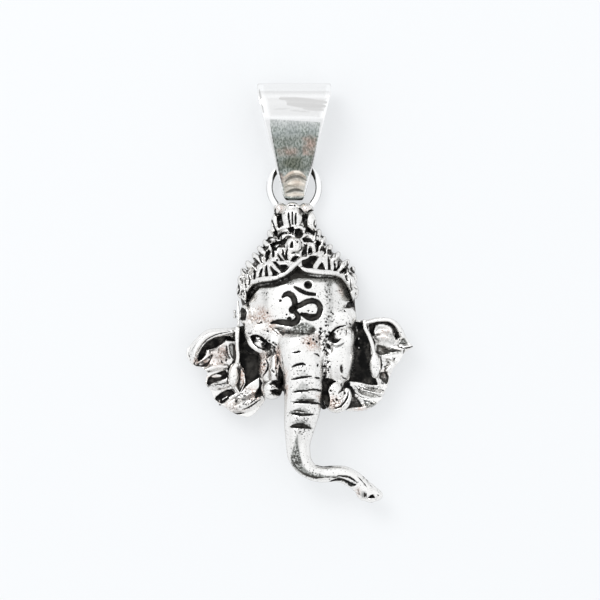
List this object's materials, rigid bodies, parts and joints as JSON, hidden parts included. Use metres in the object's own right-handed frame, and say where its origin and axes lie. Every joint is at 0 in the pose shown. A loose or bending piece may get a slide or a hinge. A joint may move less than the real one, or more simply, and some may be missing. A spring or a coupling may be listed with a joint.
{
  "type": "elephant head pendant",
  "caption": "Cast silver pendant of a crowned elephant head with a curled trunk, hung from a jump ring and a tapered loop bail.",
  "frame": {"origin": "middle of the bounding box, at the surface that the pendant lies on", "axes": "+Y from the trunk to the bail, +Z the way the face looks, +X to the right seen from above"},
  "size_m": [0.0296, 0.0548, 0.0089],
  "materials": {
    "cast_silver": "cast silver, bright on the high places and blackened in the recesses",
    "ring_silver": "drawn silver wire, soldered, lightly tarnished",
    "polished_silver": "polished silver sheet with fine lengthwise grain"
  },
  "bodies": {
    "root": {"head": "cast_silver", "jump_ring": "ring_silver", "bail": "polished_silver"}
  },
  "joints": []
}
